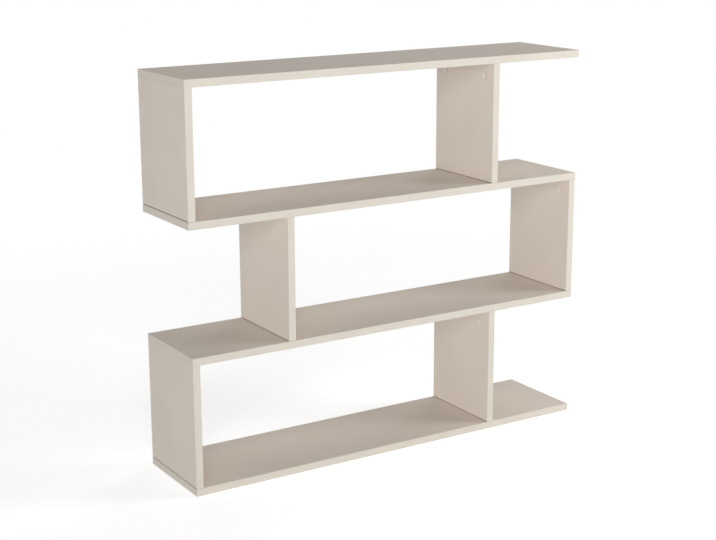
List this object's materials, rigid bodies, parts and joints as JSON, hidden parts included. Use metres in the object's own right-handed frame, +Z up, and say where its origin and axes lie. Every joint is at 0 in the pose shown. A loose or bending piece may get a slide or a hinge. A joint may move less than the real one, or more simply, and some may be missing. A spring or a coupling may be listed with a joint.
{
  "type": "zigzag bookshelf",
  "caption": "Free-standing open bookshelf of full-width boards on uprights that step from side to side tier by tier, leaving wide bays and open-ended niches.",
  "frame": {"origin": "on the floor, at the middle of the base outline", "axes": "+X along the shelves to the right as seen from the front, +Y from the front to the back, +Z up"},
  "size_m": [1.1, 0.242, 0.96],
  "materials": {
    "faced_board": "melamine-faced board, warm light grey, satin matt",
    "edging_strip": "plastic edging in the colour of the board",
    "cover_cap": "moulded plastic, a little lighter than the board",
    "cast_cam": "bare die-cast zinc",
    "fitting_steel": "bright zinc-plated",
    "dowel_wood": "raw beech"
  },
  "bodies": {
    "root": {"bottom_shelf": "faced_board", "lower_shelf": "faced_board", "upper_shelf": "faced_board", "top_shelf": "faced_board", "lower_left_upright": "faced_board", "lower_right_upright": "faced_board", "middle_left_upright": "faced_board", "middle_right_upright": "faced_board", "upper_left_upright": "faced_board", "upper_right_upright": "faced_board", "bottom_shelf_front_edging": "edging_strip", "bottom_shelf_rear_edging": "edging_strip", "bottom_shelf_left_edging": "edging_strip", "bottom_shelf_right_edging": "edging_strip", "lower_shelf_front_edging": "edging_strip", "lower_shelf_rear_edging": "edging_strip", "lower_shelf_left_edging": "edging_strip", "lower_shelf_right_edging": "edging_strip", "upper_shelf_front_edging": "edging_strip", "upper_shelf_rear_edging": "edging_strip", "upper_shelf_left_edging": "edging_strip", "upper_shelf_right_edging": "edging_strip", "top_shelf_front_edging": "edging_strip", "top_shelf_rear_edging": "edging_strip", "top_shelf_left_edging": "edging_strip", "top_shelf_right_edging": "edging_strip", "lower_left_upright_front_edging": "edging_strip", "lower_left_upright_rear_edging": "edging_strip", "lower_right_upright_front_edging": "edging_strip", "lower_right_upright_rear_edging": "edging_strip", "middle_left_upright_front_edging": "edging_strip", "middle_left_upright_rear_edging": "edging_strip", "middle_right_upright_front_edging": "edging_strip", "middle_right_upright_rear_edging": "edging_strip", "upper_left_upright_front_edging": "edging_strip", "upper_left_upright_rear_edging": "edging_strip", "upper_right_upright_front_edging": "edging_strip", "upper_right_upright_rear_edging": "edging_strip", "lower_cam_locks": "cast_cam", "lower_cam_bolts": "fitting_steel", "lower_cam_caps": "cover_cap", "lower_dowels": "dowel_wood", "lower_screws": "fitting_steel", "middle_cam_locks": "cast_cam", "middle_cam_bolts": "fitting_steel", "middle_cam_caps": "cover_cap", "middle_dowels": "dowel_wood", "middle_screws": "fitting_steel", "upper_cam_locks": "cast_cam", "upper_cam_bolts": "fitting_steel", "upper_cam_caps": "cover_cap", "upper_dowels": "dowel_wood", "upper_screws": "fitting_steel"}
  },
  "joints": []
}
